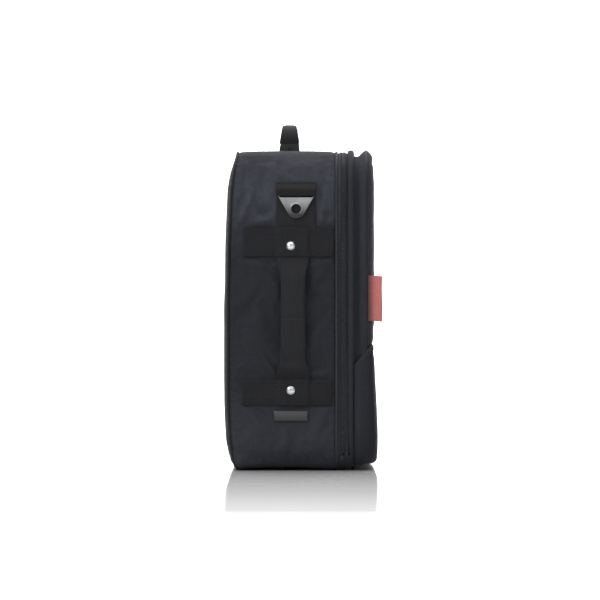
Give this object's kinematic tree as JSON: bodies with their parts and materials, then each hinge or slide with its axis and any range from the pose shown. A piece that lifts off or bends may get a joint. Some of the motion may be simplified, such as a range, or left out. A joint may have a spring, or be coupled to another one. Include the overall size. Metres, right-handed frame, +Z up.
{
  "type": "soft lighting kit case",
  "caption": "Soft-sided rectangular carrying case for studio lights, with a zipped drop-down lid, front pocket, top and end handles, strap rings and padded dividers.",
  "frame": {"origin": "on the floor under the middle of the overall box", "axes": "+X along the case's length, -Y towards the zipped lid and its pocket, +Z up to the carrying handle"},
  "size_m": [0.4796, 0.2048, 0.4615],
  "materials": {
    "nylon_shell": "matte charcoal ballistic nylon",
    "piping": "black woven piping",
    "stiffener": "raw polyethylene board",
    "padding": "grey brushed loop lining over foam",
    "hook_tape": "black hook tape",
    "zip_tape": "black zip tape",
    "zip_coil": "black nylon coil",
    "zip_metal": "black painted die-cast",
    "handle_plastic": "black moulded plastic",
    "rivet_steel": "bright nickel plate",
    "ring_steel": "bright zinc-plated steel",
    "webbing": "black heavy webbing",
    "grip_webbing": "black padded webbing",
    "label_rubber": "grey moulded rubber, blank",
    "red_ribbon": "red woven ribbon, blank"
  },
  "bodies": {
    "case_body": {"body_wall": "nylon_shell", "rear_panel": "nylon_shell", "rear_piping": "piping", "front_piping": "piping", "wall_board": "stiffener", "back_board": "stiffener", "wall_foam": "padding", "back_foam": "padding", "back_pad": "padding", "centre_divider": "padding", "centre_hook_strips": "hook_tape", "zip_strip_body": "nylon_shell", "zip_tape_body": "zip_tape", "zip_coil_body": "zip_coil", "zip_stops": "zip_metal", "hinge_cord": "piping", "hinge_tabs": "piping", "handle_anchors": "handle_plastic", "handle_pins": "rivet_steel", "handle_rivets": "rivet_steel", "left_ring_tab": "webbing", "left_upper_band": "webbing", "left_lower_band": "webbing", "left_strap_ends": "webbing", "right_ring_tab": "webbing", "right_upper_band": "webbing", "right_lower_band": "webbing", "right_strap_ends": "webbing", "side_rivets": "rivet_steel", "rivet_washers": "rivet_steel", "label_patch": "label_rubber"},
    "lid": {"lid_rim": "nylon_shell", "lid_wall": "nylon_shell", "lid_piping": "piping", "lid_front_panel": "nylon_shell", "lid_upper_pad": "nylon_shell", "lid_board": "stiffener", "lid_foam": "padding", "front_pocket": "nylon_shell", "pocket_binding": "piping", "red_tag": "red_ribbon", "zip_tape_lid": "zip_tape", "zip_coil_lid": "zip_coil", "hinge_sleeve": "piping"},
    "left_divider": {"left_cross_divider": "padding", "left_cross_hooks": "hook_tape"},
    "right_divider": {"right_cross_divider": "padding", "right_cross_hooks": "hook_tape"},
    "left_slider": {"left_zip_slider": "zip_metal"},
    "right_slider": {"right_zip_slider": "zip_metal"},
    "left_pull": {"left_zip_pull": "zip_metal"},
    "right_pull": {"right_zip_pull": "zip_metal"},
    "top_handle": {"top_handle_strap": "grip_webbing", "top_handle_grip": "grip_webbing"},
    "left_ring": {"left_strap_ring": "ring_steel"},
    "right_ring": {"right_strap_ring": "ring_steel"},
    "left_grip": {"left_side_grip": "grip_webbing"},
    "right_grip": {"right_side_grip": "grip_webbing"}
  },
  "joints": [
    {"name": "lid_hinge", "type": "hinge", "parent": "case_body", "child": "lid", "pos_m": [0, -0.053, 0.003], "axis": [1, 0, 0], "range_deg": [0, 150]},
    {"name": "left_zip_slide", "type": "slide", "parent": "case_body", "child": "left_slider", "axis": [-1, 0, 0], "range_m": [0, 0.15]},
    {"name": "right_zip_slide", "type": "slide", "parent": "case_body", "child": "right_slider", "axis": [1, 0, 0], "range_m": [0, 0.15]},
    {"name": "left_pull_flip", "type": "hinge", "parent": "left_slider", "child": "left_pull", "pos_m": [-0.011, -0.052, 0.4242], "axis": [0, 1, 0], "range_deg": [0, 100]},
    {"name": "right_pull_flip", "type": "hinge", "parent": "right_slider", "child": "right_pull", "pos_m": [0.011, -0.052, 0.4242], "axis": [0, -1, 0], "range_deg": [0, 100]},
    {"name": "top_handle_swing", "type": "hinge", "parent": "case_body", "child": "top_handle", "pos_m": [0, 0.02, 0.4275], "axis": [1, 0, 0], "range_deg": [-45, 45], "stiffness_Nm_per_rad": 0.4},
    {"name": "left_ring_swing", "type": "hinge", "parent": "case_body", "child": "left_ring", "pos_m": [-0.2335, 0.011, 0.367], "axis": [0, 1, 0], "range_deg": [0, 135]},
    {"name": "right_ring_swing", "type": "hinge", "parent": "case_body", "child": "right_ring", "pos_m": [0.2335, 0.011, 0.367], "axis": [0, -1, 0], "range_deg": [0, 135]},
    {"name": "left_grip_lift", "type": "slide", "parent": "case_body", "child": "left_grip", "axis": [-1, 0, 0], "range_m": [0, 0.022], "stiffness_N_per_m": 60, "deforming": ["left_strap_ends"]},
    {"name": "right_grip_lift", "type": "slide", "parent": "case_body", "child": "right_grip", "axis": [1, 0, 0], "range_m": [0, 0.022], "stiffness_N_per_m": 60, "deforming": ["right_strap_ends"]},
    {"name": "left_divider_move", "type": "slide", "parent": "case_body", "child": "left_divider", "axis": [0, 0, 1], "range_m": [-0.1, 0.2]},
    {"name": "right_divider_move", "type": "slide", "parent": "case_body", "child": "right_divider", "axis": [0, 0, 1], "range_m": [-0.2, 0.1]}
  ]
}
